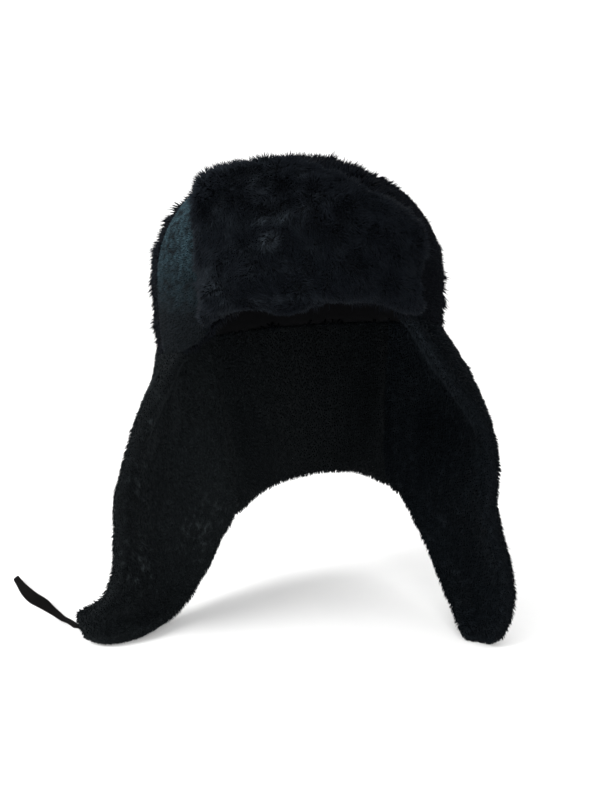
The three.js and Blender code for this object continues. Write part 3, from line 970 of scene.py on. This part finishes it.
def panel_marks(paleness):
    """Shorn pile on the outer side, speckled, with a paleness that is partly its own and partly painted light, and
    paler in its upper part as painted light.
    """

    def marks(places, facing):
        outer = np.sum((places - np.array(BROW)) * facing, axis=1) > 0
        # painted light: paler in the upper part and darker towards the bottom, as the light falls
        low = np.clip((places[:, 2] + 0.083) / 0.042, 0.04, 1)
        speckle = 0.55 + 0.9 * rolling(places, 0.0032, 3) + 0.35 * rolling(places, 0.012, 4)
        pale = paleness * np.clip(speckle, 0, 1) * low
        comb = even_comb(places, (-0.3, 0, -0.9))
        return {"cover": outer * 1.0, "inset": outer * 1.0, "comb": comb, "pale": pale}

    return marks


# Sizes of each kind of fur piece, with locks for each square millimetre
VISOR_SIZES = {
    "inset": 2.3 * MM, "lumpy": 2.2 * MM, "voxel": 2.2 * MM, "pressure": 3, "most": 1.5 * MM,
    "locks": 2.7, "length": 5.3 * MM, "width": 0.8 * MM, "between": 0.2,
    "wander": 2.6, "tuft": 6.5 * MM, "pull": 85.0, "seed": 3,
}
CROWN_SIZES = {
    "inset": 2.4 * MM, "lumpy": 2.8 * MM, "voxel": 3.2 * MM,
    "locks": 0.38, "length": 6.2 * MM, "width": 1.5 * MM, "between": 0.4,
    "wander": 2.4, "tuft": 7 * MM, "pull": 80.0, "seed": 5,
}
FLAP_SIZES = {
    "inset": 1.0 * MM, "lumpy": 0.5 * MM, "voxel": 2.6 * MM, "pressure": 3, "most": 1.2 * MM,
    "length": 3.4 * MM, "width": 1.0 * MM, "between": 0.55, "roots": 0.35,
    "wander": 1.2, "tuft": 5 * MM, "pull": 40.0,
}
PANEL_SIZES = {
    "inset": 0.5 * MM, "lumpy": 0.2 * MM, "voxel": 1.4 * MM,
    "length": 2.4 * MM, "between": 0.5,
    "wander": 1.1, "tuft": 3 * MM, "pull": 120.0,
}
for node, slot, fur, marks, sizes in (
    ("visor", "black_fur", VISOR_FUR, visor_marks, VISOR_SIZES),
    ("crown", "black_fur", CROWN_FUR, crown_marks, CROWN_SIZES),
    ("ear_flap_left", "black_fur", FLAP_FUR, flap_marks(-1), {**FLAP_SIZES, "locks": 0.7, "seed": 17}),
    ("ear_flap_right", "black_fur", PAINTED_SHADE_FLAP_FUR, flap_marks(1), {**FLAP_SIZES, "locks": 0.64, "seed": 29}),
    ("neck_flap", "black_fur", FLAP_FUR, neck_marks, {**FLAP_SIZES, "locks": 0.56, "seed": 41}),
    (
        # the left panel's paleness is partly painted light where the light rakes over it
        "side_panel_left", "sheared_fur", PANEL_FUR, panel_marks(1.12),
        {**PANEL_SIZES, "locks": 2.6, "width": 0.7 * MM, "seed": 53},
    ),
    (
        # painted shade: the right panel gets no paleness
        "side_panel_right", "sheared_fur", PAINTED_SHADE_PANEL_FUR, panel_marks(0.0),
        {**PANEL_SIZES, "locks": 1.2, "width": 1.0 * MM, "seed": 67},
    ),
):
    fur_piece(node, slot, fur, marks, sizes)


def make_stage():
    """Pale ground that sweeps up into a backdrop."""
    near, sweep, top, side = -3.0, 1.2, 4.0, 5.0
    profile = [(near, GROUND), (sweep, GROUND)]
    for turn in np.linspace(0.05, math.pi / 2, 24):
        profile.append((sweep + sweep * math.sin(turn), GROUND + sweep * (1 - math.cos(turn))))
    profile.append((2 * sweep, top))
    points = [(x, y, z) for y, z in profile for x in (-side, side)]
    faces = [(2 * i, 2 * i + 1, 2 * i + 3, 2 * i + 2) for i in range(len(profile) - 1)]
    made, nodes, shader, place = material("pale_table", 0.7, **{"Specular IOR Level": 0.2})
    grain = nodes.cloud(place, 40.0, 3.0)
    feed(nodes, shader, "Base Color", nodes.colour_mix(grain, (0.86, 0.86, 0.86), (0.9, 0.9, 0.895)))
    stage = finished("table", points, faces, [made])
    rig.stage(stage)


def soft_light(name, place, aim, size, power):
    """A round soft light that faces a point."""
    data = bpy.data.lights.new(name, "AREA")
    data.shape, data.size, data.energy = "DISK", size, power
    light = bpy.data.objects.new(name, data)
    light.location = place
    light.rotation_euler = (Vector(aim) - Vector(place)).to_track_quat("-Z", "Y").to_euler()
    bpy.context.collection.objects.link(light)


make_stage()
soft_light("left_softbox", (-1.3, -0.5, 0.55), (0, 0, -0.1), 0.8, 27.0)
soft_light("front_softbox", (0.3, -1.5, 0.5), (0, 0, -0.15), 1.0, 12.0)
soft_light("overhead_softbox", (0.1, 0.3, 1.4), (0, 0, -0.1), 1.2, 3.0)
world = bpy.data.worlds.new("studio")
bpy.context.scene.world = world
world.use_nodes = True
sky = Nodes(world.node_tree)
glow = sky.add("ShaderNodeBackground", {}, {"Color": (1.0, 1.0, 1.0), "Strength": 1.12})
sky.add("ShaderNodeOutputWorld", {}, {"Surface": glow["Background"]})
bpy.context.scene.view_settings.view_transform = "Standard"

new_low, new_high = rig.bounds()
with open("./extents.json", "w") as size_file:
    sizes = {"cad": [list(cad_low), list(cad_high)], "visual": [list(new_low), list(new_high)]}
    json.dump(sizes, size_file)
